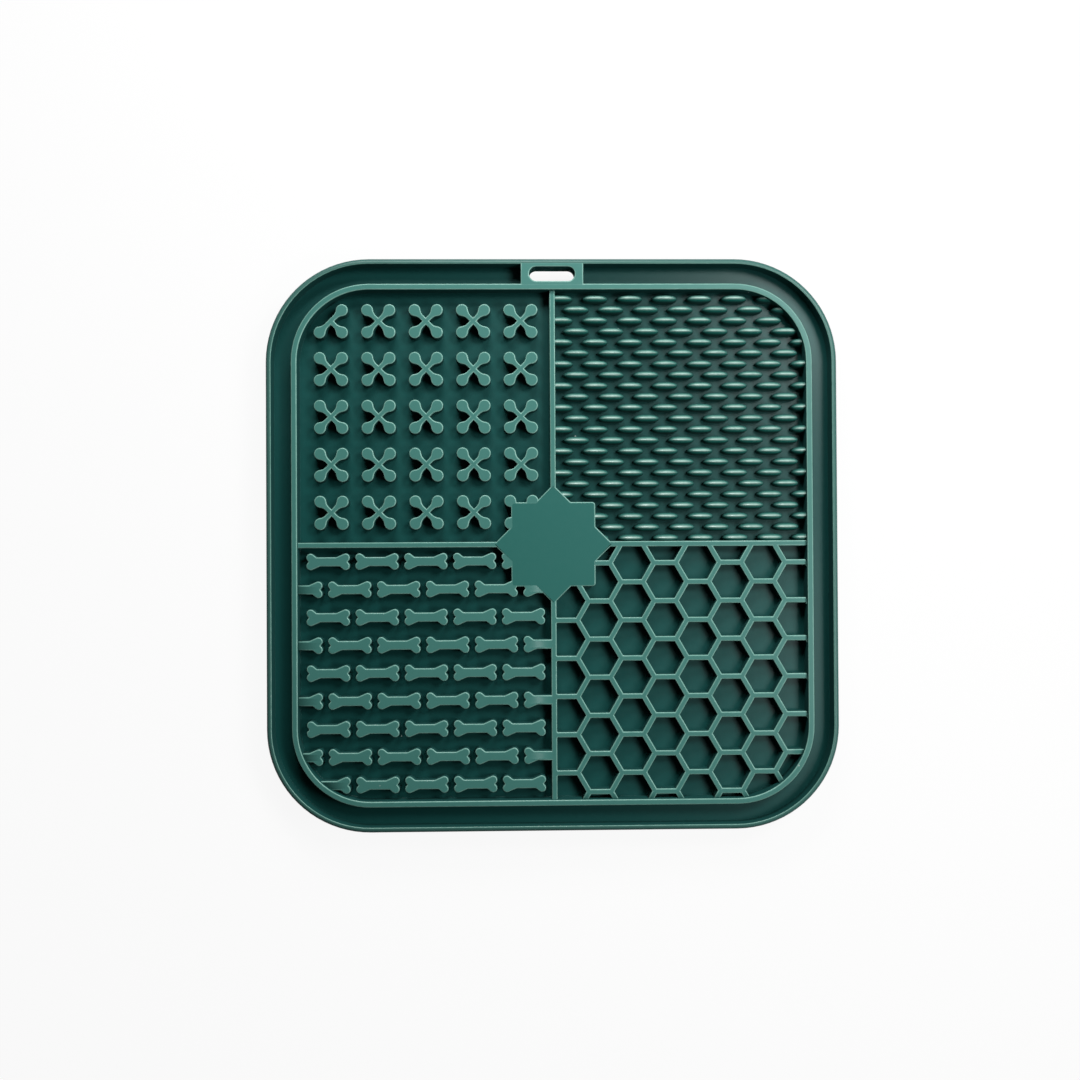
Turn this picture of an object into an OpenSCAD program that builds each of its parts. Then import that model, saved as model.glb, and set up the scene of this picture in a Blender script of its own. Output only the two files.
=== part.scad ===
// Square silicone lick mat with four textured quarters, two rims and a hanging slot
// All lengths are in millimetres. The licking side faces +Z and the hanging slot is towards +Y.
// The mat stands on its suction cups at z = 0, and the origin is under its middle.

/* [Mat] */
// Outer side of the square mat
mat_side = 200; // [190:1:260]
// Radius of the mat's outer corners
mat_corner_r = 36; // [30:0.5:50]
// Thickness of the sheet that carries everything
sheet_t = 2; // [1.2:0.1:4]

/* [Rims] */
// Height of both rims and of the hanging tab above the sheet
rim_h = 6; // [5:0.1:10]
// Wall of the outer rim
outer_rim_t = 1.9; // [1.2:0.1:3]
// Clear width of the gutter between the rims
gutter_w = 6.9; // [6.2:0.1:9]
// Wall of the inner rim
inner_rim_t = 2.1; // [1.2:0.1:3]

/* [Hanging tab] */
// Length of the tab along the edge
tab_l = 22; // [20:0.5:40]
// Length of the hanging slot over its round ends
slot_l = 16; // [10:0.1:18]
// Width of the hanging slot
slot_w = 5; // [4.6:0.1:6]

/* [Dividers and plaque] */
// Height of the dividers, plaque, studs and ribs above the sheet
rib_h = 4.6; // [4.2:0.1:5]
// Wall of the dividers
divider_t = 2; // [1.2:0.1:3]
// Side of each of the two squares that make the star plaque
plaque_side = 29.6; // [24:0.2:36]
// Radius of the corners of the upright square
plaque_corner_r = 1.1; // [0.4:0.1:3]

/* [Crossed bones] */
// Columns of crossed bones
crossed_columns = 5; // [3:1:5]
// Width and height of one crossed bone over its lobes
crossed_size = 12.1; // [10:0.1:12.8]
// Radius of a lobe
crossed_lobe_r = 2.15; // [1.6:0.05:2.4]
// Width of an arm where the two bones cross
crossed_arm_w = 1.8; // [1.2:0.1:2.4]
// Run of an arm's shoulder, from the middle of its lobe back to the straight part
crossed_shoulder_run = 3; // [2.4:0.1:3.4]
// Gap from the vertical divider to the nearest column
crossed_divider_gap_x = 4.1; // [2:0.1:6]
// Gap from the farthest column to the inner rim
crossed_rim_gap_x = 5.6; // [3:0.1:7]
// Gap from the horizontal divider to the nearest row
crossed_divider_gap_y = 4.3; // [2:0.1:6]
// Gap from the farthest row to the inner rim
crossed_rim_gap_y = 4.7; // [3:0.1:7]

/* [Bones] */
// Whole bones in an odd row
bone_columns = 5; // [3:1:5]
// Length of one bone over its knobs
bone_l = 15.2; // [13:0.1:16]
// Width of one bone over its knobs
bone_w = 5.9; // [5:0.1:6.4]
// Radius of a knob
bone_knob_r = 1.5; // [1.35:0.05:1.6]
// Width of the shaft
bone_shaft_w = 3.3; // [2.4:0.1:3.6]
// Run of the steep shoulder, from the middle of its knob to the shaft
bone_steep_run = 2.1; // [1.8:0.1:2.6]
// Run of the gentle shoulder, from the middle of its knob to the shaft
bone_gentle_run = 3.3; // [2.6:0.1:4]
// Depth of the hollow between the two knobs of an end
bone_notch_depth = 0.8; // [0.4:0.05:0.9]
// Gap from the vertical divider to the nearest bone of an odd row
bone_divider_gap_x = 2; // [1:0.1:4]
// Gap from the farthest bone of an odd row to the inner rim
bone_rim_gap_x = 2.8; // [1:0.1:4]
// Gap from the horizontal divider to the first row
bone_divider_gap_y = 1.8; // [1:0.1:3]
// Gap from the last row to the inner rim
bone_rim_gap_y = 2.5; // [1:0.1:3]
// Shift of the even rows towards the divider
bone_stagger = 7.5; // [6:0.1:9]

/* [Grain bumps] */
// Length of one bump at the sheet, which is twice its height
grain_l = 8.9; // [6:0.1:9]
// Width of one bump at the sheet
grain_w = 2.3; // [1.6:0.1:2.8]
// Width of the blunt crest
grain_crest_w = 0.9; // [0.4:0.1:1.4]
// Distance between bumps along a row
grain_pitch_x = 12.32; // [11:0.02:14]
// From the vertical divider's middle to the first bump of an odd row
grain_first_x = 2.8; // [2:0.1:4]
// Shift of the even rows away from the vertical divider
grain_stagger = 5.66; // [5:0.02:7]
// Gap from the inner rim to the first row
grain_rim_gap_y = 1.5; // [1:0.1:3]
// From the horizontal divider's middle to the middle of the last row
grain_last_y = 2; // [1.4:0.1:4]

/* [Honeycomb] */
// Width of a cell from rib middle to rib middle, and so the distance between cells
comb_cell_w = 13.34; // [11:0.1:16]
// Wall of the honeycomb ribs
comb_rib_t = 1.95; // [1.2:0.05:2.6]
// First whole cell's distance from the vertical divider's middle, as a share of a cell's width
comb_first_share = 1.2; // [1.14:0.02:1.26]

/* [Suction cups] */
// Cups in each row
cup_columns = 5; // [3:1:6]
// Height of a cup, which is how far the sheet stands off the floor
cup_h = 3; // [2:0.1:5]
// Diameter of the lip
cup_d = 13; // [10:0.5:15]
// Diameter where the cup joins the sheet
cup_neck_d = 6.4; // [4:0.2:8]
// Straight height of the lip
cup_lip_h = 0.5; // [0.3:0.1:0.8]
// Width of the flat ring that the cup stands on
cup_ring_w = 0.5; // [0.3:0.1:0.8]
// Depth of the hollow under the cup
cup_hollow_h = 1.6; // [1:0.1:1.8]
// From the mat's edge to the middle of the outermost cups
cup_edge = 22; // [18:0.5:30]

/* [Hidden] */
$fn = 64;
// Segments of a circle that is much larger than the part of it that shows
shallow_arc_fn = 240;

// Rows that the list of nodes above names
crossed_rows = 5;
bone_rows = 9;
grain_rows = 23;
cup_rows = 5;

// Heights
sheet_bottom = cup_h;
floor_z = sheet_bottom + sheet_t;

// Half sides of the rims, from the outside in
outer_half = mat_side / 2;
gutter_outer_half = outer_half - outer_rim_t;
gutter_inner_half = gutter_outer_half - gutter_w;
field_half = gutter_inner_half - inner_rim_t;
gutter_middle = (gutter_outer_half + gutter_inner_half) / 2;
// Side of one quarter, from a divider to the inner rim
quarter_side = field_half - divider_t / 2;

// Angles of a crossed bone's arms; the stud in the mat's corner has none towards the corner
all_arm_angles = [45, 135, 225, 315];
corner_arm_angles = [45, 225, 315];
// Lattice of crossed bones
crossed_first_x = divider_t / 2 + crossed_divider_gap_x + crossed_size / 2;
crossed_first_y = divider_t / 2 + crossed_divider_gap_y + crossed_size / 2;
crossed_last_x = field_half - crossed_rim_gap_x - crossed_size / 2;
crossed_last_y = field_half - crossed_rim_gap_y - crossed_size / 2;
crossed_pitch_x = (crossed_last_x - crossed_first_x) / (crossed_columns - 1);
crossed_pitch_y = (crossed_last_y - crossed_first_y) / (crossed_rows - 1);

// Lattice of bones
bone_first_x = divider_t / 2 + bone_divider_gap_x + bone_l / 2;
bone_first_y = divider_t / 2 + bone_divider_gap_y + bone_w / 2;
bone_last_x = field_half - bone_rim_gap_x - bone_l / 2;
bone_last_y = field_half - bone_rim_gap_y - bone_w / 2;
bone_pitch_x = (bone_last_x - bone_first_x) / (bone_columns - 1);
bone_pitch_y = (bone_last_y - bone_first_y) / (bone_rows - 1);

// Lattice of grain bumps; every row runs on until the inner rim ends it
grain_first_y = field_half - grain_rim_gap_y - grain_w / 2;
grain_pitch_y = (grain_first_y - grain_last_y) / (grain_rows - 1);
grain_columns = ceil((field_half - grain_first_x) / grain_pitch_x);

// Honeycomb of regular cells with level top and bottom sides
comb_side = comb_cell_w / sqrt(3);
comb_step_x = comb_side * 3 / 2;
comb_first_x = comb_first_share * comb_cell_w;
comb_columns = 1 + ceil(field_half / comb_step_x);
comb_rows = 1 + ceil(field_half / comb_cell_w);

// Lattice of suction cups
cup_pitch_x = (mat_side - 2 * cup_edge) / (cup_columns - 1);
cup_pitch_y = (mat_side - 2 * cup_edge) / (cup_rows - 1);

// Point at a distance r and an angle from a centre
function polar(centre, r, angle) = centre + r * [cos(angle), sin(angle)];
// Where a line from point p touches a circle; turn is 1 or -1 for its two sides
function touch_point(p, centre, r, turn) =
    polar(centre, r, atan2(p.y - centre.y, p.x - centre.x) + turn * acos(r / norm(p - centre)));

// Square outline with round corners, given its half side
module round_square(half, r) {
    square([2 * half, 2 * (half - r)], center = true);
    square([2 * (half - r), 2 * half], center = true);
    for (x = [-1, 1], y = [-1, 1])
        translate([x, y] * (half - r)) circle(r);
}

// Outline of the mat at a given half side, with corners that share their centres
module mat_outline(half) {
    round_square(half, mat_corner_r - outer_half + half);
}

// Outline of the hanging slot, a little longer than wide with full round ends
module slot_outline() {
    translate([0, gutter_middle]) {
        square([slot_l - slot_w, slot_w], center = true);
        for (x = [-1, 1])
            translate([x * (slot_l - slot_w) / 2, 0]) circle(slot_w / 2);
    }
}

// Outline of the plaque: an upright square with round corners over a turned one
module plaque_outline() {
    round_square(plaque_side / 2, plaque_corner_r);
    rotate(45) square(plaque_side, center = true);
}

// What a quarter has room for; x and y are 1 or -1 and say which quarter
module quarter_outline(x, y) {
    difference() {
        intersection() {
            mat_outline(field_half);
            translate([x, y] * (divider_t + quarter_side) / 2)
                square(quarter_side, center = true);
        }
        plaque_outline();
    }
}

// One arm of a crossed bone, pointing along +X from the crossing, with a shoulder to its lobe
module crossed_arm() {
    lobe = [(crossed_size / 2 - crossed_lobe_r) * sqrt(2), 0];
    shoulder = [lobe.x - crossed_shoulder_run, -crossed_arm_w / 2];
    touch = touch_point(shoulder, lobe, crossed_lobe_r, 1);
    lower_edge = [[0, shoulder.y], shoulder, touch];
    translate(lobe) circle(crossed_lobe_r);
    polygon(concat(lower_edge, [lobe], [for (i = [2 : -1 : 0]) [lower_edge[i].x, -lower_edge[i].y]]));
}

// Outline of one crossed bone, with an arm at each of the given angles
module crossed_bone(angles) {
    for (angle = angles)
        rotate(angle) crossed_arm();
}

// Outline of one bone, with a steep and a gentle shoulder at each end
module bone() {
    knob = [bone_l / 2 - bone_knob_r, bone_w / 2 - bone_knob_r];
    steep = [knob.x - bone_steep_run, -bone_shaft_w / 2];
    gentle = [knob.x - bone_gentle_run, bone_shaft_w / 2];
    steep_touch = touch_point(steep, [knob.x, -knob.y], bone_knob_r, 1);
    gentle_touch = touch_point(gentle, knob, bone_knob_r, -1);
    notch = [bone_l / 2 - bone_notch_depth, knob.y];
    half_bone = [
        steep, steep_touch, [knob.x, -knob.y], [notch.x, -notch.y], notch, knob, gentle_touch, gentle
    ];
    polygon(concat(half_bone, [for (p = half_bone) -p]));
    for (x = [-1, 1], y = [-1, 1])
        translate([x * knob.x, y * knob.y]) circle(bone_knob_r);
}

// One grain bump standing on z = 0: half of an upright disc with bulging sides and a blunt rim
module grain() {
    disc_r = grain_l / 2;
    bulge = (grain_w - grain_crest_w) / 2;
    side_r = (pow(disc_r, 2) + pow(bulge, 2)) / (2 * bulge);
    side_y = side_r - grain_w / 2;
    rotate([90, 0, 0])
        rotate_extrude(angle = 180)
            intersection() {
                translate([0, side_y]) circle(side_r, $fn = shallow_arc_fn);
                translate([0, -side_y]) circle(side_r, $fn = shallow_arc_fn);
                translate([0, -grain_w]) square([disc_r, 2 * grain_w]);
            }
}

// One honeycomb rib along +X, with mitred ends that meet its neighbours
module comb_rib() {
    half = comb_rib_t / 2;
    mitre = half / sqrt(3);
    polygon([
        [-comb_side / 2, 0], [-comb_side / 2 + mitre, half], [comb_side / 2 - mitre, half],
        [comb_side / 2, 0], [comb_side / 2 - mitre, -half], [-comb_side / 2 + mitre, -half]
    ]);
}

// All ribs of one direction: each cell gives its side that faces the given angle
module comb_ribs(angle) {
    color("seagreen")
        translate([0, 0, floor_z])
            linear_extrude(rib_h)
                intersection() {
                    for (i = [-1 : comb_columns], j = [-1 : comb_rows])
                        translate([
                            comb_first_x + i * comb_step_x,
                            -(j + (i % 2 == 0 ? 0 : 1 / 2)) * comb_cell_w
                        ])
                            translate(polar([0, 0], comb_cell_w / 2, angle))
                                rotate(angle - 90) comb_rib();
                    quarter_outline(1, -1);
                }
}

// A wall from the plaque to the inner rim, along the given angle
module divider(angle) {
    color("seagreen")
        translate([0, 0, floor_z])
            linear_extrude(rib_h)
                difference() {
                    rotate(angle)
                        translate([0, -divider_t / 2]) square([field_half, divider_t]);
                    plaque_outline();
                }
}

module base_sheet() {
    color("darkslategray")
        translate([0, 0, sheet_bottom])
            linear_extrude(sheet_t)
                difference() {
                    mat_outline(outer_half);
                    slot_outline();
                }
}

module outer_rim() {
    color("darkgreen")
        translate([0, 0, floor_z])
            linear_extrude(rim_h)
                difference() {
                    mat_outline(outer_half);
                    mat_outline(gutter_outer_half);
                }
}

module inner_rim() {
    color("darkgreen")
        translate([0, 0, floor_z])
            linear_extrude(rim_h)
                difference() {
                    mat_outline(gutter_inner_half);
                    mat_outline(field_half);
                }
}

module hanging_tab() {
    color("darkgreen")
        translate([0, 0, floor_z])
            linear_extrude(rim_h)
                difference() {
                    translate([-tab_l / 2, gutter_inner_half]) square([tab_l, gutter_w]);
                    slot_outline();
                }
}

module centre_plaque() {
    color("seagreen")
        translate([0, 0, floor_z])
            linear_extrude(rib_h) plaque_outline();
}

// One row of crossed bones, counted from the top; the stud in the mat's corner has no outer arm
module crossed_bones_row(row) {
    color("seagreen")
        translate([0, 0, floor_z])
            linear_extrude(rib_h)
                intersection() {
                    for (column = [1 : crossed_columns])
                        translate([
                            -crossed_first_x - (column - 1) * crossed_pitch_x,
                            crossed_last_y - (row - 1) * crossed_pitch_y
                        ])
                            crossed_bone(
                                row == 1 && column == crossed_columns ? corner_arm_angles : all_arm_angles
                            );
                    quarter_outline(-1, 1);
                }
}

// One row of bones, counted from the top; even rows are shifted and end in half bones
module bones_row(row) {
    even = row % 2 == 0;
    color("seagreen")
        translate([0, 0, floor_z])
            linear_extrude(rib_h)
                intersection() {
                    for (column = [1 : bone_columns + (even ? 1 : 0)])
                        translate([
                            -bone_first_x - (column - 1) * bone_pitch_x + (even ? bone_stagger : 0),
                            -bone_first_y - (row - 1) * bone_pitch_y
                        ])
                            bone();
                    quarter_outline(-1, -1);
                }
}

// One row of grain bumps, counted from the top, cut where it runs into the rim, a divider or the plaque
module grain_row(row) {
    even = row % 2 == 0;
    color("mediumseagreen")
        translate([0, 0, floor_z])
            intersection() {
                for (column = [0 : grain_columns])
                    translate([
                        grain_first_x + column * grain_pitch_x + (even ? grain_stagger : 0),
                        grain_first_y - (row - 1) * grain_pitch_y,
                        0
                    ])
                        grain();
                linear_extrude(rib_h) quarter_outline(1, 1);
            }
}

// One suction cup, standing on its ring with its neck under the sheet
module suction_cup() {
    hollow_rim = cup_d / 2 - cup_ring_w;
    hollow_r = (pow(hollow_rim, 2) + pow(cup_hollow_h, 2)) / (2 * cup_hollow_h);
    rotate_extrude()
        difference() {
            polygon([
                [0, 0], [cup_d / 2, 0], [cup_d / 2, cup_lip_h], [cup_neck_d / 2, cup_h], [0, cup_h]
            ]);
            translate([0, cup_hollow_h - hollow_r]) circle(hollow_r);
        }
}

module suction_cups_row(row) {
    color("darkslategray")
        for (column = [1 : cup_columns])
            translate([
                -outer_half + cup_edge + (column - 1) * cup_pitch_x,
                outer_half - cup_edge - (row - 1) * cup_pitch_y,
                0
            ])
                suction_cup();
}

base_sheet();
outer_rim();
inner_rim();
hanging_tab();
divider(90);  // top_divider
divider(270);  // bottom_divider
divider(180);  // left_divider
divider(0);  // right_divider
centre_plaque();
crossed_bones_row(1);  // crossed_bones_row_1
crossed_bones_row(2);  // crossed_bones_row_2
crossed_bones_row(3);  // crossed_bones_row_3
crossed_bones_row(4);  // crossed_bones_row_4
crossed_bones_row(5);  // crossed_bones_row_5
bones_row(1);  // bones_row_1
bones_row(2);  // bones_row_2
bones_row(3);  // bones_row_3
bones_row(4);  // bones_row_4
bones_row(5);  // bones_row_5
bones_row(6);  // bones_row_6
bones_row(7);  // bones_row_7
bones_row(8);  // bones_row_8
bones_row(9);  // bones_row_9
grain_row(1);  // grain_row_1
grain_row(2);  // grain_row_2
grain_row(3);  // grain_row_3
grain_row(4);  // grain_row_4
grain_row(5);  // grain_row_5
grain_row(6);  // grain_row_6
grain_row(7);  // grain_row_7
grain_row(8);  // grain_row_8
grain_row(9);  // grain_row_9
grain_row(10);  // grain_row_10
grain_row(11);  // grain_row_11
grain_row(12);  // grain_row_12
grain_row(13);  // grain_row_13
grain_row(14);  // grain_row_14
grain_row(15);  // grain_row_15
grain_row(16);  // grain_row_16
grain_row(17);  // grain_row_17
grain_row(18);  // grain_row_18
grain_row(19);  // grain_row_19
grain_row(20);  // grain_row_20
grain_row(21);  // grain_row_21
grain_row(22);  // grain_row_22
grain_row(23);  // grain_row_23
comb_ribs(90);  // honeycomb_level_ribs
comb_ribs(150);  // honeycomb_rising_ribs
comb_ribs(30);  // honeycomb_falling_ribs
suction_cups_row(1);  // suction_cups_row_1
suction_cups_row(2);  // suction_cups_row_2
suction_cups_row(3);  // suction_cups_row_3
suction_cups_row(4);  // suction_cups_row_4
suction_cups_row(5);  // suction_cups_row_5
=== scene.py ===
import math

import bmesh
import bpy
from mathutils import Matrix, Vector
from mathutils.geometry import tessellate_polygon


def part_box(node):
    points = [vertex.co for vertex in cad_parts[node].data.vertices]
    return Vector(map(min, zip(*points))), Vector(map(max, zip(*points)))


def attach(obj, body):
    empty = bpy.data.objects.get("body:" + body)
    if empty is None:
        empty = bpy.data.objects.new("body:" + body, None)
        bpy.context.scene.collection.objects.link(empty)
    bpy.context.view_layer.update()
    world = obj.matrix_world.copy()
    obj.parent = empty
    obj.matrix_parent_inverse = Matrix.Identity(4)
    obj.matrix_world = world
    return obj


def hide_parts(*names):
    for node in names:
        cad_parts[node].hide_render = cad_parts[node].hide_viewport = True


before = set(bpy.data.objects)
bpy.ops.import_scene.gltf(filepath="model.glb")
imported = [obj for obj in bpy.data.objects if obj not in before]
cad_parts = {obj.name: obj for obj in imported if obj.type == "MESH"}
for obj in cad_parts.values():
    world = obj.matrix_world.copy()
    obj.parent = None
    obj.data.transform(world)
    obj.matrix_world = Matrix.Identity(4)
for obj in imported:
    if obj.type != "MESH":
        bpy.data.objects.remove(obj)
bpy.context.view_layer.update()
mm = 0.001  # the meshes are worked out in millimetres and written in metres


def nodeBox(name):  # a node's lowest and highest corners in millimetres
    low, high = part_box(name)
    return low / mm, high / mm


rimLow, rimHigh = nodeBox("outer_rim")
tabLow, tabHigh = nodeBox("hanging_tab")
mat = {
    "half": rimHigh.x,  # half of the outer side
    "cornerRadius": 36,  # of the outer edge; the corners inside it share its middle
    "cornerSteps": 20,
    "underside": nodeBox("base_sheet")[0].z,
    "floor": rimLow.z,  # top of the sheet
    "rimTop": rimHigh.z,
    "reliefTop": nodeBox("centre_plaque")[1].z,
    "gutterOuter": tabHigh.y,
    "gutterInner": tabLow.y,
    "field": -nodeBox("left_divider")[0].x,  # half of the licking field
    "edgeRound": 0.48,  # on every raised edge but the outer rim's
    "roundSteps": 4,
    "hold": 0.05,  # a last loop beside each rounded edge keeps the flat tops flat
    "baseFillet": 0.2,  # where the rims grow out of the sheet
    "filletDip": 0.03,  # how far a fillet's end dips into the sheet
    "sink": 0.3,  # how far a piece's foot reaches into the sheet
    "flush": 0.012,  # tops that meet a flush neighbour lie this much lower, inside it
    "sharpAngle": 38,  # edges that bend by more degrees are shaded sharp
}
print("frame loaded, mat half side", round(mat["half"], 1), "mm")


# the same two small classes draw the shader and the geometry trees
class nodeWire:
    def __init__(self, board, socket):
        self.board, self.socket = board, socket

    def side(self, output):  # another output of the same node
        return nodeWire(self.board, self.socket.node.outputs[output])

    def maths(self, operation, *others):
        wires = dict(enumerate((self,) + others))
        return self.board.node("ShaderNodeMath", {"operation": operation}, wires)

    def __add__(self, other):
        return self.maths("ADD", other)

    def __mul__(self, other):
        return self.maths("MULTIPLY", other)

    def __sub__(self, other):
        return self.maths("SUBTRACT", other)

    def __rsub__(self, other):
        return self.board.node("ShaderNodeMath", {"operation": "SUBTRACT"}, {0: other, 1: self})

    def __truediv__(self, other):
        return self.maths("DIVIDE", other)

    __radd__, __rmul__ = __add__, __mul__


class nodeBoard:
    def __init__(self, tree):
        self.tree = tree

    def node(self, kind, settings={}, sockets={}, output=0):
        made = self.tree.nodes.new(kind)
        for name, value in settings.items():
            setattr(made, name, value)
        for key, value in sockets.items():
            if isinstance(value, nodeWire):
                self.tree.links.new(value.socket, made.inputs[key])
            else:
                made.inputs[key].default_value = value
        return nodeWire(self, made.outputs[output]) if made.outputs else made


# one silicone for the whole mat, and three finishes that differ a little from it
siliconeFinish = {
    # the floor colour is darker than the tops' as painted shade between the raised parts
    "floorColour": (0.008, 0.073, 0.067, 1),
    "topColour": (0.060, 0.202, 0.175, 1),
    # painted shade: every steep wall gets this darker colour
    "wallShadeColour": (0.002, 0.066, 0.060, 1),
    # the pale tint of rounded edges and crests: partly wear, partly painted highlight
    "edgeWearAndHighlightColour": (0.24, 0.47, 0.40, 1),
    "fadeFrom": 0.0055,  # height in metres where the floor's darker colour, painted shade, starts to turn into the tops'
    "fadeTo": 0.0095,
    "edgeShare": 0.9,
    "wearAndHighlightPower": 1,  # above 1 the pale edge tint, wear and painted highlight, keeps closer to an edge or crest
    "cloudNoise": (16, 2),  # scale per metre and detail
    "mottleNoise": (420, 3),
    "grainNoise": (2600, 2),
    "noiseMiddle": 0.5,  # the value that every noise swings about
    "cloudShare": 0.7,  # of the swing in colour
    "mottleShare": 0.3,
    "colourSwing": 0.25,
    "roughness": 0.36,
    "wornRoughness": 0.20,  # rubbed edges are polished
    "wallRoughness": 0.95,  # walls come out of the mould matt
    "roughnessSwing": 0.08,
    "wallFrom": 0.65,  # a slope counts as a wall once its normal's upward part is below this
    "wallTo": 0.25,
    "index": 1.36,
    "grainDepth": 0.000012,  # metres
    "lintColour": (0.42, 0.50, 0.46, 1),
    "lintStrength": 0.8,
    "lintScale": 130,  # cells per metre
    "lintShare": 0.12,  # of the lint cells that hold a speck
    "lintRadius": 0.036,  # share of a lint cell
}


def siliconeMaterial(name, look):
    material = bpy.data.materials.new(name)
    material.use_nodes = True
    board = nodeBoard(material.node_tree)
    board.tree.nodes.clear()
    place = board.node("ShaderNodeTexCoord", output="Object")

    def noise(scale, detail):
        sockets = {"Vector": place, "Scale": scale, "Detail": detail}
        return board.node("ShaderNodeTexNoise", {}, sockets)

    def mixed(share, first, second):  # the mix node's colours are its sockets 6 and 7
        sockets = {0: share, 6: first, 7: second}
        return board.node("ShaderNodeMix", {"data_type": "RGBA"}, sockets, output=2)

    def smoothStep(value, start, end):
        sockets = {"Value": value, "From Min": start, "From Max": end}
        return board.node("ShaderNodeMapRange", {"interpolation_type": "SMOOTHSTEP"}, sockets)

    cloud = noise(*look["cloudNoise"])
    mottle = noise(*look["mottleNoise"])
    fineGrain = noise(*look["grainNoise"])
    middle = look["noiseMiddle"]
    # painted shade: the floor is darker than the tops, and the walls darker still; the rounded
    # edges are palest, partly from wear, partly painted highlight
    zHeight = board.node("ShaderNodeSeparateXYZ", {}, {0: place}, output="Z")
    height = smoothStep(zHeight, look["fadeFrom"], look["fadeTo"])
    clouding = cloud * look["cloudShare"] + mottle * look["mottleShare"] - middle
    body = mixed(height + clouding * look["colourSwing"], look["floorColour"], look["topColour"])
    normal = board.node("ShaderNodeNewGeometry", output="Normal")
    upward = board.node("ShaderNodeSeparateXYZ", {}, {0: normal}, output="Z")
    level = smoothStep(upward.maths("ABSOLUTE"), look["wallTo"], look["wallFrom"])
    wall = 1 - level
    # painted shade darkens every steep wall
    body = mixed(wall, body, look["wallShadeColour"])
    # the edge tint read here is partly wear, partly painted highlight
    wearAndHighlight = board.node("ShaderNodeAttribute", {"attribute_name": "edgeWearAndHighlight"}, {}, output="Fac")
    wornAndHighlit = wearAndHighlight.maths("POWER", look["wearAndHighlightPower"]) * level
    patchy = mottle + (1 - middle)
    body = mixed(wornAndHighlit * patchy * look["edgeShare"], body, look["edgeWearAndHighlightColour"])
    # a few specks of lint: one dot in some cells of a coarse cell pattern
    cell = board.node("ShaderNodeTexVoronoi", {}, {"Vector": place, "Scale": look["lintScale"]})
    lot = board.node("ShaderNodeSeparateColor", {}, {0: cell.side("Color")})
    chosen = lot.maths("LESS_THAN", look["lintShare"])
    speck = cell.maths("LESS_THAN", look["lintRadius"]) * chosen
    colour = mixed(speck * look["lintStrength"], body, look["lintColour"])
    roughness = look["roughness"] + wall * (look["wallRoughness"] - look["roughness"])
    roughness = roughness + wornAndHighlit * (look["wornRoughness"] - look["roughness"])
    roughness = roughness + (mottle - middle) * look["roughnessSwing"]
    bump = board.node("ShaderNodeBump", {}, {
        "Strength": 1.0, "Distance": look["grainDepth"], "Height": fineGrain})
    shader = board.node("ShaderNodeBsdfPrincipled", {}, {
        "Base Color": colour, "Roughness": roughness, "IOR": look["index"], "Normal": bump})
    board.node("ShaderNodeOutputMaterial", {}, {"Surface": shader})
    return material


silicone = siliconeMaterial("darkGreenSilicone", siliconeFinish)
# the bumps are deeper green and shinier; their crests carry a painted highlight, and their steep
# sides painted shade
bumpSilicone = siliconeMaterial("bumpSilicone", siliconeFinish | {
    "topColour": (0.010, 0.135, 0.110, 1),
    # painted shade on the bumps' steep sides
    "wallShadeColour": (0.002, 0.055, 0.046, 1),
    # the crest's pale colour is a painted highlight
    "edgeWearAndHighlightColour": (0.58, 0.78, 0.70, 1),
    "wearAndHighlightPower": 2,
    "roughness": 0.27,
    "wornRoughness": 0.22,
    "wallFrom": 0.6,
    "wallTo": 0.2,
    "index": 1.45,
})
# the plaque is a shade darker than the studs
plaqueSilicone = siliconeMaterial("plaqueSilicone", siliconeFinish | {
    "topColour": (0.028, 0.145, 0.125, 1),
})
# painted shade darkens the outer rim's rounded outside, which pales only at its very top
paintedShadeRimSilicone = siliconeMaterial("paintedShadeRimSilicone", siliconeFinish | {
    "topColour": (0.052, 0.150, 0.129, 1),
    "edgeWearAndHighlightColour": (0.18, 0.38, 0.32, 1),
    "fadeFrom": 0.0100,
    "fadeTo": 0.0111,
})
print("silicone mixed")


# outlines are in millimetres and run counter-clockwise
def arc(centre, radius, start, end, steps):  # angles in degrees, both ends included
    points = []
    for step in range(steps + 1):
        turn = math.radians(start + (end - start) * step / steps)
        x, y = centre[0] + radius * math.cos(turn), centre[1] + radius * math.sin(turn)
        points.append(Vector((x, y)))
    return points


def rectangle(left, right, bottom, top):
    return [Vector(p) for p in ((left, bottom), (right, bottom), (right, top), (left, top))]


# corners are (x, y, radius), and a corner of radius 0 stays sharp
def roundedPath(corners, steps):
    path = []
    for index, (x, y, radius) in enumerate(corners):
        here = Vector((x, y))
        before = (Vector(corners[index - 1][:2]) - here).normalized()
        after = (Vector(corners[(index + 1) % len(corners)][:2]) - here).normalized()
        if not radius:
            path.append(here)
            continue
        half = before.angle(after) / 2
        middle = here + (before + after).normalized() * radius / math.sin(half)
        start = here + before * radius / math.tan(half) - middle
        end = here + after * radius / math.tan(half) - middle
        for step in range(steps + 1):  # slerp gives a unit vector
            path.append(middle + start.slerp(end, step / steps) * radius)
    return path


def turned(points, degrees):
    turn = math.radians(degrees)
    c, s = math.cos(turn), math.sin(turn)
    return [Vector((p.x * c - p.y * s, p.x * s + p.y * c)) for p in points]


def roundedSquare(half):  # any of the mat's squares, given its half side
    radius = mat["cornerRadius"] - mat["half"] + half
    side = Vector((1, 1)) * (half - radius)
    path = []
    for quarter in range(4):
        corner = [side + p for p in arc((0, 0), radius, 0, 90, mat["cornerSteps"])]
        path += turned(corner, 90 * quarter)
    return path


def inset(points, distance):  # moves an outline inwards by the distance
    moved = []
    for index, here in enumerate(points):
        toHere = (here - points[index - 1]).normalized()
        onward = (points[(index + 1) % len(points)] - here).normalized()
        first, second = Vector((-toHere.y, toHere.x)), Vector((-onward.y, onward.x))
        moved.append(here + (first + second) * distance / (1 + first.dot(second)))
    return moved


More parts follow.
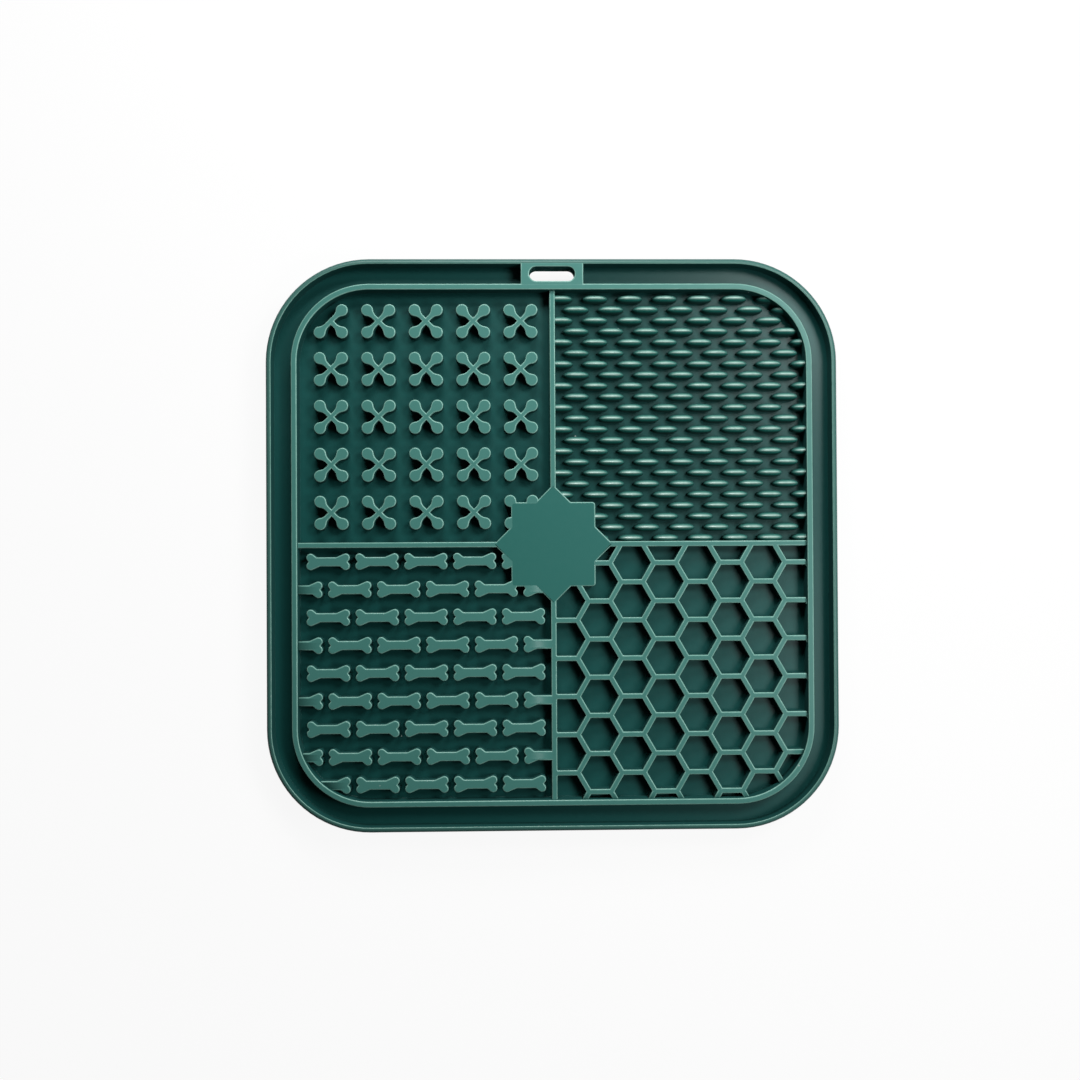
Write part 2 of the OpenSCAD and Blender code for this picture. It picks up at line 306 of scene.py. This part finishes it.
# each point's pale edge tint, from 0 to 1, is partly wear and partly painted highlight
def plainMesh(name, points, faces, wearAndHighlight=None, finish=silicone):
    mesh = bpy.data.meshes.new(name)
    mesh.from_pydata([Vector(p) * mm for p in points], [], faces)
    work = bmesh.new()
    work.from_mesh(mesh)
    bmesh.ops.recalc_face_normals(work, faces=work.faces)
    work.to_mesh(mesh)
    work.free()
    mesh.shade_smooth()
    mesh.set_sharp_from_angle(angle=math.radians(mat["sharpAngle"]))
    edgeWearAndHighlight = mesh.attributes.new("edgeWearAndHighlight", "FLOAT", "POINT")
    edgeWearAndHighlight.data.foreach_set("value", wearAndHighlight or [0] * len(points))
    mesh.materials.append(finish)
    return mesh


def piece(name, mesh):
    made = bpy.data.objects.new(name, mesh)
    bpy.context.scene.collection.objects.link(made)
    return made


def settle(made, *nodes):
    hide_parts(*nodes)
    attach(made, "root")


# an arc of a section, its edge tint (wear and painted highlight) strongest at its middle
def bend(centre, radius, start, end, steps, wearAndHighlight=0):
    curve = arc(centre, radius, start, end, steps)
    return [(p.x, p.y, wearAndHighlight * math.sin(math.pi * step / steps)) for step, p in enumerate(curve)]


def topRound(radius, top):  # (inset, height, edge tint) up a wall and over its rounded edge
    curve = bend((radius, top - radius), radius, 180, 90, mat["roundSteps"], 1)
    return [(0, top - radius - mat["hold"], 0)] + curve + [(radius + mat["hold"], top, 0)]


# the faces between two closed rings of points, given where each ring starts
def bandFaces(below, above, count):
    faces = []
    for index in range(count):
        after = (index + 1) % count
        faces.append((below + index, below + after, above + after, above + index))
    return faces


# skins outlines (holes run clockwise) at levels of (inset, height, edge tint) and closes both ends
def raisedForm(name, loops, levels, finish=silicone):
    points, faces, starts, wearAndHighlight = [], [], [], []
    for loop in loops:
        start, count = len(points), len(loop)
        for distance, height, rubbedAndHighlit in levels:
            points += [(p.x, p.y, height) for p in inset(loop, distance)]
            wearAndHighlight += [rubbedAndHighlit] * count
        for level in range(len(levels) - 1):
            faces += bandFaces(start + level * count, start + (level + 1) * count, count)
        starts.append((start, count))
    for level in (0, len(levels) - 1):
        rings = [range(start + level * count, start + (level + 1) * count)
                 for start, count in starts]
        corners = [corner for ring in rings for corner in ring]
        flat = tessellate_polygon([[Vector(points[corner]) for corner in ring] for ring in rings])
        faces += [tuple(corners[index] for index in face) for face in flat]
    return plainMesh(name, points, faces, wearAndHighlight, finish)


# carries a closed section of (half side, height, edge tint) round the mat
def sweptRing(name, section, finish):
    count = len(roundedSquare(mat["half"]))
    points, faces, wearAndHighlight = [], [], []
    for half, height, rubbedAndHighlit in section:
        points += [(p.x, p.y, height) for p in roundedSquare(half)]
        wearAndHighlight += [rubbedAndHighlit] * count
    for level in range(len(section)):
        above = (level + 1) % len(section)
        faces += bandFaces(level * count, above * count, count)
    return plainMesh(name, points, faces, wearAndHighlight, finish)


# the sheet, with the slot through it, then the rims and the hanging tab
slotHole = {"length": 16, "width": 5, "endSteps": 12}
slotMiddle = (mat["gutterOuter"] + mat["gutterInner"]) / 2


def slotOutline():  # clockwise, because it is a hole
    radius, steps = slotHole["width"] / 2, slotHole["endSteps"]
    reach = slotHole["length"] / 2 - radius
    rightEnd = arc((reach, slotMiddle), radius, 90, -90, steps)
    leftEnd = arc((-reach, slotMiddle), radius, -90, -270, steps)
    return rightEnd + leftEnd


sheetFinish = {"underRound": 0.6}
underRound = sheetFinish["underRound"]
underCurve = bend((underRound, mat["underside"] + underRound), underRound, -90, -180,
                  mat["roundSteps"], 1)
baseSheet = piece("baseSheet", raisedForm(
    "baseSheet", [roundedSquare(mat["half"]), slotOutline()], underCurve + [(0, mat["floor"], 0)]))
settle(baseSheet, "base_sheet")


# a rim's section, from its outer foot up, over its top and down to its inner foot
def rimSection(outer, inner, outerRound, innerRound, outerFillet, outerEdgeWearAndHighlight):
    top, floor, base = mat["rimTop"], mat["floor"], mat["floor"] - mat["sink"]
    hold, dip, steps = mat["hold"], mat["filletDip"], mat["roundSteps"]
    innerFillet = mat["baseFillet"]
    outerBend = (outer + outerFillet, floor + outerFillet - dip)  # middles of the two fillets
    innerBend = (inner - innerFillet, floor + innerFillet - dip)
    if outerFillet:
        section = [(outer + outerFillet, base, 0)]
        section += bend(outerBend, outerFillet, -90, -180, steps)
    else:
        section = [(outer, floor, 0)]
    section += [(outer, top - outerRound - hold, 0)]
    section += bend((outer - outerRound, top - outerRound), outerRound, 0, 90, 2 * steps, outerEdgeWearAndHighlight)
    section += [(outer - outerRound - hold, top, 0), (inner + innerRound + hold, top, 0)]
    section += bend((inner + innerRound, top - innerRound), innerRound, 90, 180, steps, 1)
    section += [(inner, floor + innerFillet + hold, 0)]
    section += bend(innerBend, innerFillet, 0, -90, steps)
    section += [(inner - innerFillet, base, 0)]
    if not outerFillet:  # the foot stays inside the sheet's edge
        section += [(outer - outerRound, base, 0)]
    return section


rimFinish = {"outerRound": 1.4, "innerRound": 0.38}  # the mat's outside edge is the softest
outerSection = rimSection(
    mat["half"], mat["gutterOuter"], rimFinish["outerRound"], rimFinish["innerRound"],
    outerFillet=0, outerEdgeWearAndHighlight=0)
outerRim = piece("outerRim", sweptRing("outerRim", outerSection, paintedShadeRimSilicone))
settle(outerRim, "outer_rim")
innerSection = rimSection(
    mat["gutterInner"], mat["field"], mat["edgeRound"], mat["edgeRound"],
    outerFillet=mat["baseFillet"], outerEdgeWearAndHighlight=1)
innerRim = piece("innerRim", sweptRing("innerRim", innerSection, silicone))
settle(innerRim, "inner_rim")

tabFinish = {"reachOut": 0.6, "reachIn": 1.0}  # how far the tab runs on inside the two rims
tabStart = mat["gutterInner"] - tabFinish["reachIn"]
tabEnd = mat["gutterOuter"] + tabFinish["reachOut"]
tabLevels = [(0, mat["floor"], 0)] + topRound(mat["edgeRound"], mat["rimTop"] - mat["flush"])
hangingTab = piece("hangingTab", raisedForm(
    "hangingTab", [rectangle(-tabHigh.x, tabHigh.x, tabStart, tabEnd), slotOutline()], tabLevels))
settle(hangingTab, "hanging_tab")
print("sheet, rims and hanging tab made")

# dividers run from under the plaque into the inner rim
foot = (0, mat["floor"] - mat["sink"], 0)
dividerHalf = nodeBox("top_divider")[1].x
rimMiddle = (mat["field"] + mat["gutterInner"]) / 2
plaqueTip = nodeBox("centre_plaque")[1].x
plaqueFinish = {
    "cornerRadius": 1.1,
    "hollowRadius": 0.5,
    "tipRadius": 0.3,
    "roundSteps": 4,
    "dividerStart": 0.8,  # share of the plaque's reach where the dividers under it begin
}
bar = rectangle(plaqueTip * plaqueFinish["dividerStart"], rimMiddle, -dividerHalf, dividerHalf)
dividerLevels = [foot] + topRound(mat["edgeRound"], mat["reliefTop"] - mat["flush"])
for side, degrees in (("right", 0), ("top", 90), ("left", 180), ("bottom", 270)):
    name = side + "Divider"
    divider = piece(name, raisedForm(name, [turned(bar, degrees)], dividerLevels))
    settle(divider, side + "_divider")

# the plaque is two squares, one turned by 45 degrees, that cross in eight hollows
squareHalf = plaqueTip / math.sqrt(2)
hollowAcross = squareHalf * math.tan(math.radians(22.5))
starQuarter = [  # (x, y, radius)
    (plaqueTip, 0, plaqueFinish["tipRadius"]),
    (squareHalf, hollowAcross, plaqueFinish["hollowRadius"]),
    (squareHalf, squareHalf, plaqueFinish["cornerRadius"]),
    (hollowAcross, squareHalf, plaqueFinish["hollowRadius"]),
]
star = []
for quarter in range(4):
    corners = turned([Vector(point[:2]) for point in starQuarter], 90 * quarter)
    star += [(*corner, point[2]) for corner, point in zip(corners, starQuarter)]
centrePlaque = piece("centrePlaque", raisedForm(
    "centrePlaque", [roundedPath(star, plaqueFinish["roundSteps"])],
    [foot] + topRound(mat["edgeRound"], mat["reliefTop"]), plaqueSilicone))
settle(centrePlaque, "centre_plaque")
print("dividers and plaque made")


def newTree(name, labels):
    tree = bpy.data.node_groups.new(name, "GeometryNodeTree")
    for label, kind in labels.items():
        tree.interface.new_socket(label, in_out="INPUT", socket_type="NodeSocket" + kind)
    tree.interface.new_socket("Geometry", in_out="OUTPUT", socket_type="NodeSocketGeometry")
    board = nodeBoard(tree)
    return board, board.node("NodeGroupInput")


# sets the stud on the points and ends the tree
def studsOn(board, given, points, rotation=(0, 0, 0)):
    stud = board.node(
        "GeometryNodeObjectInfo", {}, {"Object": given.side("Stud")}, output="Geometry")
    copies = board.node("GeometryNodeInstanceOnPoints", {}, {
        "Points": points, "Instance": stud, "Rotation": rotation})
    real = board.node("GeometryNodeRealizeInstances", {}, {"Geometry": copies})
    dressed = board.node("GeometryNodeSetMaterial", {}, {
        "Geometry": real, "Material": given.side("Finish")})
    board.node("NodeGroupOutput", {}, {"Geometry": dressed})
    return board.tree


def rowTree():  # studs in a line along X
    board, given = newTree("studRow", {
        "Count": "Int", "First": "Vector", "Pitch": "Vector", "Stud": "Object",
        "Finish": "Material"})
    line = board.node("GeometryNodeMeshLine", {"mode": "OFFSET"}, {
        "Count": given.side("Count"), "Start Location": given.side("First"),
        "Offset": given.side("Pitch")})
    return studsOn(board, given, line)


# one side of every cell of a honeycomb, with every other column half a cell lower
def combTree():
    board, given = newTree("combRibs", {
        "Columns": "Int", "Rows": "Int", "First X": "Float", "First Y": "Float",
        "Column Step": "Float", "Cell Width": "Float", "Side Angle": "Float",
        "Height": "Float", "Stud": "Object", "Finish": "Material"})
    rows, width, angle = given.side("Rows"), given.side("Cell Width"), given.side("Side Angle")
    index = board.node("GeometryNodeInputIndex")
    column = (index / rows).maths("FLOOR")
    row = index - column * rows
    lowered = column.maths("MODULO", 2.0) * 0.5
    cellX = given.side("First X") + column * given.side("Column Step")
    cellY = given.side("First Y") - (row + lowered) * width
    where = board.node("ShaderNodeCombineXYZ", {}, {
        "X": cellX + angle.maths("COSINE") * width * 0.5,
        "Y": cellY + angle.maths("SINE") * width * 0.5,
        "Z": given.side("Height")})
    points = board.node("GeometryNodePoints", {}, {
        "Count": given.side("Columns") * rows, "Position": where})
    turn = board.node("ShaderNodeCombineXYZ", {}, {"Z": angle - math.pi / 2})
    return studsOn(board, given, points, turn)


def grow(name, tree, sizes):  # runs a tree and keeps its result as a plain mesh
    made = piece(name, bpy.data.meshes.new(name))
    modifier = made.modifiers.new(tree.name, "NODES")
    modifier.node_group = tree
    inputs = [item for item in tree.interface.items_tree if item.in_out == "INPUT"]
    sockets = {item.name: item.identifier for item in inputs}
    for label, value in sizes.items():
        modifier[sockets[label]] = value
    evaluated = made.evaluated_get(bpy.context.evaluated_depsgraph_get())
    grown = bpy.data.meshes.new_from_object(evaluated)
    made.modifiers.clear()
    made.data = grown
    grown.name = name
    return made


trimming = {"cornerSteps": 8, "weldDistance": 1e-7}  # the distance in metres


# planes round one quarter: the dividers' middles and the middle of the inner rim
def fieldPlanes(across, up):
    centre, steps = Vector((0, 0, 0)), trimming["cornerSteps"]
    planes = [(centre, Vector((-across, 0, 0))), (centre, Vector((0, -up, 0)))]
    reach = mat["half"] - mat["cornerRadius"]
    corner = Vector((across * reach, up * reach, 0))
    for step in range(steps + 1):
        turn = math.radians(90 * step / steps)
        normal = Vector((across * math.cos(turn), up * math.sin(turn), 0))
        planes.append((corner + normal * (rimMiddle - reach), normal))
    return planes


# cuts a piece off inside the walls round its quarter and closes the cuts
def trim(made, across, up):
    work = bmesh.new()
    work.from_mesh(made.data)
    for point, normal in fieldPlanes(across, up):
        everything = work.verts[:] + work.edges[:] + work.faces[:]
        cut = bmesh.ops.bisect_plane(
            work, geom=everything, dist=trimming["weldDistance"], plane_co=point * mm,
            plane_no=normal, clear_outer=True)
        edges = [part for part in cut["geom_cut"] if isinstance(part, bmesh.types.BMEdge)]
        bmesh.ops.holes_fill(work, edges=edges, sides=0)
    work.to_mesh(made.data)
    work.free()


templates = []
studRow, combRibs = rowTree(), combTree()


def template(name, mesh):  # a stud for the trees to copy, taken away again when they have run
    made = piece(name, mesh)
    templates.append(made)
    return made


def studRowPiece(name, stud, count, first, pitch, y, finish=silicone):
    return grow(name, studRow, {
        "Count": count, "First": (first * mm, y * mm, 0), "Pitch": (pitch * mm, 0, 0),
        "Stud": stud, "Finish": finish})


def rowMiddle(node):
    low, high = nodeBox(node)
    return (low.y + high.y) / 2


# crossed bones fill the top left quarter
crossedLow, crossedHigh = nodeBox("crossed_bones_row_2")
crossed = {
    "rows": 5,
    "columns": 5,
    "size": crossedHigh.y - crossedLow.y,
    "lobeRadius": 2.15,
    "armWidth": 1.8,
    "hollowRadius": 3.2,
    "lobeSteps": 16,
    "hollowSteps": 4,
}


def crossedOutline(arms):
    half, lobe, hollow = crossed["armWidth"] / 2, crossed["lobeRadius"], crossed["hollowRadius"]
    lobeX = (crossed["size"] / 2 - lobe) * math.sqrt(2)
    # from the lobe's middle back to the hollow's
    run = math.sqrt((lobe + hollow) ** 2 - (half + hollow) ** 2)
    touch = math.degrees(math.atan2(half + hollow, run))
    lower = arc((lobeX - run, -half - hollow), hollow, 90, touch, crossed["hollowSteps"])
    knob = arc((lobeX, 0), lobe, touch - 180, 180 - touch, crossed["lobeSteps"])
    upper = [Vector((p.x, -p.y)) for p in reversed(lower)]
    arm = lower[:-1] + knob + upper[1:]
    outline = []
    for index, degrees in enumerate(arms):
        outline += turned(arm, degrees)
        if (arms[(index + 1) % len(arms)] - degrees) % 360 == 90:  # where two arms meet
            outline += turned([Vector((half, half))], degrees)
    return outline


allArms, cornerArms = (45, 135, 225, 315), (45, 225, 315)  # degrees from +X
studLevels = [foot] + topRound(mat["edgeRound"], mat["reliefTop"] - 2 * mat["flush"])
crossedStud = template("crossedStud", raisedForm(
    "crossedStud", [crossedOutline(allArms)], studLevels))
cornerStud = raisedForm("cornerStud", [crossedOutline(cornerArms)], studLevels)
crossedFirst = crossedLow.x + crossed["size"] / 2
crossedPitch = (crossedHigh.x - crossedLow.x - crossed["size"]) / (crossed["columns"] - 1)
for row in range(1, crossed["rows"] + 1):
    node = f"crossed_bones_row_{row}"
    y = rowMiddle(node)
    topRow = row == 1
    whole = crossed["columns"] - topRow
    first = crossedFirst + crossedPitch * topRow
    made = studRowPiece(f"crossedBonesRow{row}", crossedStud, whole, first, crossedPitch, y)
    if topRow:  # its first stud lies in the mat's corner and has no outer arm
        work = bmesh.new()
        work.from_mesh(made.data)
        cornerStud.transform(Matrix.Translation(Vector((crossedFirst, y, 0)) * mm))
        work.from_mesh(cornerStud)
        work.to_mesh(made.data)
        work.free()
    settle(made, node)
print("crossed bones made")

# bones fill the bottom left quarter, and every other row is staggered and runs into the walls
boneLow, boneHigh = nodeBox("bones_row_3")
bones = {
    "rows": 9,
    "columns": 5,
    "length": 15.2,
    "width": boneHigh.y - boneLow.y,
    "knobRadius": 1.5,
    "shaftWidth": 3.3,
    "steepRun": 2.1,  # from a knob's middle along the shaft to its shoulder
    "gentleRun": 3.3,
    "steepRadius": 0.6,
    "gentleRadius": 1.2,
    "notchDepth": 0.8,
    "notchRadius": 0.25,
    "stagger": 7.5,
    "knobSteps": 12,
    "bendSteps": 3,
}


# the part of a circle between the lines that touch it from the points on both sides
def touchArc(before, centre, radius, after, steps):
    turns = []
    for point, side in ((before, 1), (after, -1)):
        toPoint = Vector(point) - Vector(centre)
        touch = side * math.acos(radius / toPoint.length)
        turns.append(math.degrees(math.atan2(toPoint.y, toPoint.x) + touch))
    return arc(centre, radius, turns[0], turns[0] + (turns[1] - turns[0]) % 360, steps)


def boneOutline():
    radius, shaft, steps = bones["knobRadius"], bones["shaftWidth"] / 2, bones["knobSteps"]
    knobX, knobY = bones["length"] / 2 - radius, bones["width"] / 2 - radius
    steep, gentle = (knobX - bones["steepRun"], -shaft), (knobX - bones["gentleRun"], shaft)
    notch = (bones["length"] / 2 - bones["notchDepth"], 0)
    lowerKnob = touchArc(steep, (knobX, -knobY), radius, notch, steps)
    upperKnob = touchArc(notch, (knobX, knobY), radius, gentle, steps)
    half = [(*steep, bones["steepRadius"])] + [(*p, 0) for p in lowerKnob]
    half += [(*notch, bones["notchRadius"])] + [(*p, 0) for p in upperKnob]
    half += [(*gentle, bones["gentleRadius"])]
    otherHalf = [(-x, -y, rounding) for x, y, rounding in half]
    return roundedPath(half + otherHalf, bones["bendSteps"])


boneStud = template("boneStud", raisedForm("boneStud", [boneOutline()], studLevels))
bonePitch = (boneHigh.x - boneLow.x - bones["length"]) / (bones["columns"] - 1)
for row in range(1, bones["rows"] + 1):
    node = f"bones_row_{row}"
    even = row % 2 == 0
    first = boneLow.x + bones["length"] / 2 + (bones["stagger"] - bonePitch if even else 0)
    made = studRowPiece(
        f"bonesRow{row}", boneStud, bones["columns"] + even, first, bonePitch, rowMiddle(node))
    trim(made, -1, -1)
    settle(made, node)
print("bones made")

# grain bumps fill the top right quarter
grain = {
    "rows": 23,
    "length": 9.4,
    "width": 2.9,
    "height": 4.45,
    "planFullness": 2.7,  # powers of the curves: 2 is an ellipse, and more is blunter
    "crownFullness": 3.4,
    "ridgeFullness": 2.8,
    "highlightLean": 5,  # degrees from the crest to where the painted highlight is strongest, towards the lit top edge
    "endFade": 3,  # powers: more keeps the painted highlight shorter or narrower
    "sideFade": 20,
    "first": 2.8,
    "pitch": 12.32,
    "stagger": 5.66,
    "alongSteps": 10,
    "overSteps": 8,
}


def grainMesh():  # slices across a bump, from end to end
    radius, slices, over = grain["length"] / 2, grain["alongSteps"], grain["overSteps"]
    lean = math.radians(grain["highlightLean"])
    points, faces, wearAndHighlight = [], [], []
    for index in range(1, slices):
        x = -radius * math.cos(math.pi * index / slices)
        along = abs(x) / radius
        rise = (1 - along ** grain["ridgeFullness"]) ** (1 / grain["ridgeFullness"])
        half = grain["width"] / 2 * math.sqrt(1 - along ** grain["planFullness"])
        for step in range(over + 1):
            turn = math.pi * step / over
            crown = math.sqrt(max(0, 1 - math.sin(turn) ** grain["crownFullness"]))
            y = half * crown * (1 if turn < math.pi / 2 else -1)
            points.append((x, y, mat["floor"] + rise * math.sin(turn) * grain["height"]))
            # a painted highlight along the crest, leaning towards the lit top edge
            rubbedAndHighlit = max(0, math.sin(turn + lean)) ** grain["sideFade"]
            wearAndHighlight.append(rise ** grain["endFade"] * rubbedAndHighlit)
    points += [(-radius, 0, mat["floor"]), (radius, 0, mat["floor"])]
    ring, left, right = over + 1, len(points) - 2, len(points) - 1
    for index in range(slices - 2):
        for step in range(over):
            at = index * ring + step
            faces.append((at, at + 1, at + ring + 1, at + ring))
    last = (slices - 2) * ring
    faces += [(left, step + 1, step) for step in range(over)]
    faces += [(right, last + step, last + step + 1) for step in range(over)]
    starts = [index * ring for index in range(slices - 1)]
    ends = [start + over for start in reversed(starts)]
    faces.append([left] + starts + [right] + ends)
    return plainMesh("grainBump", points, faces, wearAndHighlight + [0, 0], bumpSilicone)


grainBump = template("grainBump", grainMesh())
grainCount = math.ceil((mat["field"] - grain["first"]) / grain["pitch"]) + 1
for row in range(1, grain["rows"] + 1):
    node = f"grain_row_{row}"
    first = grain["first"] + (grain["stagger"] if row % 2 == 0 else 0)
    made = studRowPiece(f"grainRow{row}", grainBump, grainCount, first, grain["pitch"],
                        rowMiddle(node), bumpSilicone)
    trim(made, 1, 1)
    settle(made, node)
print("grain bumps made")

# a honeycomb of ribs fills the bottom right quarter
comb = {
    "cellWidth": 13.34,
    "ribWidth": 1.95,
    "firstX": 16,  # middle of the first whole cell
    "leadColumns": 2,  # the pattern starts this many columns before it
    "columns": 9,
    "rows": 9,
}
ribLength = comb["cellWidth"] / math.sqrt(3)
columnStep = ribLength * 1.5


def ribMesh():  # a bar along X with mitred ends that meet its neighbours
    half = comb["ribWidth"] / 2
    rise = [(half - distance, height, rubbedAndHighlit) for distance, height, rubbedAndHighlit in studLevels]
    fall = [(-y, z, rubbedAndHighlit) for y, z, rubbedAndHighlit in reversed(rise)]
    section = [(0, rise[0][1], 0)] + rise + [(0, rise[-1][1], 0)] + fall
    points, wearAndHighlight = [], []
    for end in (-1, 1):
        for y, z, rubbedAndHighlit in section:
            points.append((end * (ribLength / 2 - abs(y) / math.sqrt(3)), y, z))
            wearAndHighlight.append(rubbedAndHighlit)
    count, top = len(section), len(rise) + 1
    faces = bandFaces(0, count, count)
    for start in (0, count):  # each end is two flat faces that meet at the middle
        faces.append([start + index for index in range(top + 1)])
        faces.append([start] + [start + index for index in range(count - 1, top - 1, -1)])
    return plainMesh("combRib", points, faces, wearAndHighlight)


combRib = template("combRib", ribMesh())
for direction, degrees in (("level", 90), ("rising", 150), ("falling", 30)):
    made = grow(f"honeycomb{direction.capitalize()}Ribs", combRibs, {
        "Columns": comb["columns"],
        "Rows": comb["rows"],
        "First X": (comb["firstX"] - comb["leadColumns"] * columnStep) * mm,
        "First Y": comb["cellWidth"] * mm,
        "Column Step": columnStep * mm,
        "Cell Width": comb["cellWidth"] * mm,
        "Side Angle": math.radians(degrees),
        "Stud": combRib,
        "Finish": silicone,
    })
    trim(made, 1, -1)
    settle(made, f"honeycomb_{direction}_ribs")
print("honeycomb made")

# suction cups hold the mat down from below
cups = {
    "rows": 5,
    "columns": 5,
    "diameter": 13,
    "neck": 6.4,
    "lip": 0.5,
    "lipChamfer": 0.12,
    "ring": 0.5,
    "hollow": 1.6,
    "steps": 32,
    "curveStep": 15,  # degrees
}


def cupMesh():  # a flared cup, turned from its section of (radius, height)
    radius, neck, top = cups["diameter"] / 2, cups["neck"] / 2, mat["underside"] + mat["sink"]
    inner, lip, chamfer = radius - cups["ring"], cups["lip"], cups["lipChamfer"]
    bends = [math.radians(degrees) for degrees in range(0, 91, cups["curveStep"])]
    dome = [(inner * math.sin(turn), cups["hollow"] * math.cos(turn)) for turn in bends[1:]]
    flare = [(radius + (neck - radius) * math.sin(turn),
              lip + (mat["underside"] - lip) * (1 - math.cos(turn))) for turn in bends]
    section = dome + [(radius - chamfer, 0), (radius, chamfer)] + flare + [(neck, top)]
    count = cups["steps"]
    turns = [2 * math.pi * index / count for index in range(count)]
    points = [(r * math.cos(turn), r * math.sin(turn), z) for r, z in section for turn in turns]
    points += [(0, 0, cups["hollow"]), (0, 0, top)]
    peak, cap, last = len(points) - 2, len(points) - 1, (len(section) - 1) * count
    faces = []
    for level in range(len(section) - 1):
        faces += bandFaces(level * count, (level + 1) * count, count)
    faces += [(peak, index, (index + 1) % count) for index in range(count)]
    faces += [(cap, last + (index + 1) % count, last + index) for index in range(count)]
    return plainMesh("suctionCup", points, faces)


cup = template("suctionCup", cupMesh())
for row in range(1, cups["rows"] + 1):
    node = f"suction_cups_row_{row}"
    low, high = nodeBox(node)
    first = low.x + cups["diameter"] / 2
    pitch = (high.x - low.x - cups["diameter"]) / (cups["columns"] - 1)
    made = studRowPiece(
        f"suctionCupsRow{row}", cup, cups["columns"], first, pitch, rowMiddle(node))
    settle(made, node)
for made in templates:
    bpy.data.objects.remove(made)
print("suction cups made")

# floor, camera and lamps
setting = {
    "floorColour": (0.86, 0.86, 0.86, 1),
    "floorHalf": 20,  # metres
    "floorWhiteShare": 0.92,  # how much of what the camera sees of the floor is plain white
    "white": (1, 1, 1, 1),
    "ambientColour": (0.95, 0.99, 1.0, 1),
    "ambientStrength": 0.01,
}


def floorMaterial():
    material = bpy.data.materials.new("paleFloor")
    material.use_nodes = True
    board = nodeBoard(material.node_tree)
    board.tree.nodes.clear()
    seen = board.node("ShaderNodeLightPath", output="Is Camera Ray")
    matt = board.node("ShaderNodeBsdfDiffuse", {}, {"Color": setting["floorColour"]})
    white = board.node("ShaderNodeEmission", {}, {"Color": setting["white"], "Strength": 1.0})
    both = board.node("ShaderNodeMixShader", {}, {
        0: seen * setting["floorWhiteShare"], 1: matt, 2: white})
    board.node("ShaderNodeOutputMaterial", {}, {"Surface": both})
    return material


floorHalf = setting["floorHalf"]
floorCorners = rectangle(-floorHalf, floorHalf, -floorHalf, floorHalf)
floorMesh = bpy.data.meshes.new("floor")
floorMesh.from_pydata([(p.x, p.y, 0) for p in floorCorners], [], [(0, 1, 2, 3)])
floorMesh.materials.append(floorMaterial())
piece("floor", floorMesh)

# the world gives a faint light, and the camera sees it plain white
world = bpy.data.worlds.new("studio")
bpy.context.scene.world = world
world.use_nodes = True
board = nodeBoard(world.node_tree)
board.tree.nodes.clear()
seen = board.node("ShaderNodeLightPath", output="Is Camera Ray")
ambient = board.node("ShaderNodeBackground", {}, {
    0: setting["ambientColour"], 1: setting["ambientStrength"]})
white = board.node("ShaderNodeBackground", {}, {0: setting["white"], 1: 1.0})
both = board.node("ShaderNodeMixShader", {}, {0: seen, 1: ambient, 2: white})
board.node("ShaderNodeOutputWorld", {}, {"Surface": both})

cameraPlace = {
    "position": (-13.96, -2.32, 423.6),
    "tilt": (0.537, -1.2802, -0.3215),  # degrees
    "lens": 39.429,
    "sensor": 36,
    "clipStart": 0.01,  # metres
}
cameraData = bpy.data.cameras.new("camera")
cameraData.lens, cameraData.sensor_width = cameraPlace["lens"], cameraPlace["sensor"]
cameraData.clip_start = cameraPlace["clipStart"]
camera = bpy.data.objects.new("camera", cameraData)
camera.location = Vector(cameraPlace["position"]) * mm
camera.rotation_euler = [math.radians(turn) for turn in cameraPlace["tilt"]]
bpy.context.scene.collection.objects.link(camera)
bpy.context.scene.camera = camera

# azimuth from +X and height above the floor in degrees, distance and sides in metres,
# and share of a plain level of light
lamps = {
    "keyLamp": {
        "azimuth": 40, "height": 50, "distance": 0.48, "side": (0.16, 0.16), "share": 0.39},
    "rightLamp": {
        "azimuth": -14, "height": 49, "distance": 0.42, "side": (0.14, 0.14), "share": 0.24},
    "topLamp": {
        "azimuth": 96, "height": 36, "distance": 0.42, "side": (0.24, 0.12), "share": 0.42},
}
for name, lamp in lamps.items():
    azimuth, height = math.radians(lamp["azimuth"]), math.radians(lamp["height"])
    data = bpy.data.lights.new(name, "AREA")
    data.shape, (data.size, data.size_y) = "RECTANGLE", lamp["side"]
    data.energy = lamp["share"] * math.pi ** 2 * lamp["distance"] ** 2 / math.sin(height)
    made = bpy.data.objects.new(name, data)
    x, y = math.cos(azimuth) * math.cos(height), math.sin(azimuth) * math.cos(height)
    way = Vector((x, y, math.sin(height)))
    made.location = way * lamp["distance"]
    made.rotation_euler = way.to_track_quat("Z", "Y").to_euler()
    made.visible_camera = False
    bpy.context.scene.collection.objects.link(made)
bpy.context.scene.view_settings.view_transform = "Standard"
print("floor, camera and lamps set")
